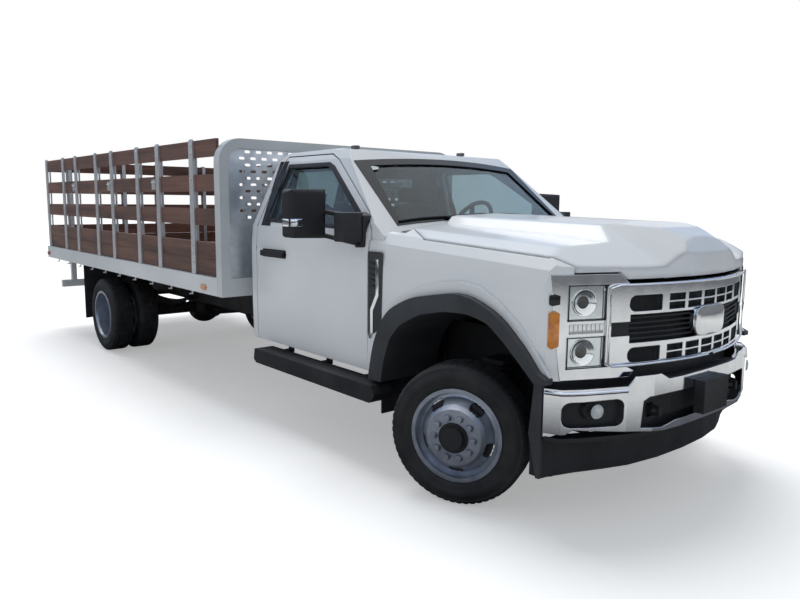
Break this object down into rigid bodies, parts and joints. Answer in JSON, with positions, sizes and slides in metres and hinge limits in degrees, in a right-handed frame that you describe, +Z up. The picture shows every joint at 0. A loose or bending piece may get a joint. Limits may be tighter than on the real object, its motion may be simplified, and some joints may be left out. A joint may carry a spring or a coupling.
{
  "type": "flatbed truck",
  "caption": "Regular-cab flatbed truck with wooden stake racks round its bed, dual rear wheels, opening doors and hood, and steered front wheels.",
  "frame": {"origin": "on the ground under the middle of the truck's length and width", "axes": "+X forward, +Y left, +Z up"},
  "size_m": [8.147, 2.707, 2.125],
  "materials": {
    "chassis_paint": "satin black chassis paint",
    "black_plastic": "grained black plastic",
    "cab_paint": "gloss white paint",
    "glass": "tinted glass",
    "interior": "dark grey trim",
    "seat_vinyl": "dark grey vinyl",
    "grey_plastic": "grained dark grey plastic",
    "chrome": "chrome plate",
    "headlamp": "clear lens over a bright reflector",
    "plank_wood": "oiled planks",
    "bed_paint": "light grey paint",
    "bulkhead_grey": "grey paint",
    "sheet_metal": "bright sheet",
    "rack_wood": "brown stained boards",
    "galvanised": "galvanised steel",
    "rubber": "black rubber sheet",
    "lamp": "amber lens",
    "tyre": "black rubber",
    "wheel_silver": "silver-grey paint"
  },
  "bodies": {
    "chassis": {"frame": "chassis_paint", "front_axle": "chassis_paint", "front_suspension": "chassis_paint", "rear_axle": "chassis_paint", "rear_springs": "chassis_paint", "driveline": "chassis_paint", "fuel_tank": "chassis_paint", "engine_block": "chassis_paint", "radiator": "black_plastic", "cab_shell": "cab_paint", "cab_glass": "glass", "cowl": "black_plastic", "dashboard": "interior", "seats": "seat_vinyl", "fenders": "cab_paint", "fender_flares": "grey_plastic", "grille": "chrome", "headlamps": "headlamp", "front_bumper": "chrome", "front_valance": "black_plastic", "running_boards": "black_plastic", "bed_frame": "chassis_paint", "bed_deck": "plank_wood", "bed_rails": "bed_paint", "bulkhead": "bulkhead_grey", "bulkhead_sheet": "sheet_metal", "rack_boards": "rack_wood", "rack_posts": "galvanised", "mud_flaps": "rubber", "underride_guard": "bed_paint", "bed_lamps": "lamp"},
    "hood": {"hood": "cab_paint"},
    "door_right": {"door_right": "cab_paint", "door_glass_right": "glass", "mirror_right": "black_plastic"},
    "door_left": {"door_left": "cab_paint", "door_glass_left": "glass", "mirror_left": "black_plastic"},
    "knuckle_right": {"knuckle_right": "chassis_paint"},
    "knuckle_left": {"knuckle_left": "chassis_paint"},
    "tie_rod": {"tie_rod": "chassis_paint"},
    "wheel_front_right": {"front_tyre_right": "tyre", "front_rim_right": "wheel_silver"},
    "wheel_front_left": {"front_tyre_left": "tyre", "front_rim_left": "wheel_silver"},
    "wheel_rear_right": {"rear_tyres_right": "tyre", "rear_rims_right": "wheel_silver"},
    "wheel_rear_left": {"rear_tyres_left": "tyre", "rear_rims_left": "wheel_silver"}
  },
  "joints": [
    {"name": "hood_lift", "type": "hinge", "parent": "chassis", "child": "hood", "pos_m": [2.4815, 0, 1.556], "axis": [0, -1, 0], "range_deg": [0, 50]},
    {"name": "door_right_swing", "type": "hinge", "parent": "chassis", "child": "door_right", "pos_m": [2.3345, -1.009, 1], "axis": [0, 0, 1], "range_deg": [0, 68]},
    {"name": "door_left_swing", "type": "hinge", "parent": "chassis", "child": "door_left", "pos_m": [2.3345, 1.009, 1], "axis": [0, 0, -1], "range_deg": [0, 68]},
    {"name": "steer_right", "type": "hinge", "parent": "chassis", "child": "knuckle_right", "pos_m": [3.0565, -0.82, 0.392], "axis": [0, 0, 1], "range_deg": [-63, 13]},
    {"name": "steer_left", "type": "hinge", "parent": "chassis", "child": "knuckle_left", "pos_m": [3.0565, 0.82, 0.392], "axis": [0, 0, 1], "range_deg": [-63, 13]},
    {"name": "tie_rod_swing", "type": "hinge", "parent": "knuckle_right", "child": "tie_rod", "pos_m": [2.90243, -0.89184, 0.292], "axis": [0, 0, 1], "range_deg": [-13, 63]},
    {"name": "front_right_spin", "type": "hinge", "parent": "knuckle_right", "child": "wheel_front_right", "pos_m": [3.11144, -0.93782, 0.392], "axis": [-0.4226, 0.9063, 0], "continuous": true},
    {"name": "rear_right_spin", "type": "hinge", "parent": "chassis", "child": "wheel_rear_right", "pos_m": [-2.1585, -0.94, 0.392], "axis": [0, 1, 0], "continuous": true},
    {"name": "front_left_spin", "type": "hinge", "parent": "knuckle_left", "child": "wheel_front_left", "pos_m": [3.00156, 0.93782, 0.392], "axis": [-0.4226, 0.9063, 0], "continuous": true},
    {"name": "rear_left_spin", "type": "hinge", "parent": "chassis", "child": "wheel_rear_left", "pos_m": [-2.1585, 0.94, 0.392], "axis": [0, 1, 0], "continuous": true}
  ],
  "couplings": [
    {"joint": "steer_left", "follows": "steer_right", "ratio": 1},
    {"joint": "tie_rod_swing", "follows": "steer_right", "ratio": -1}
  ]
}
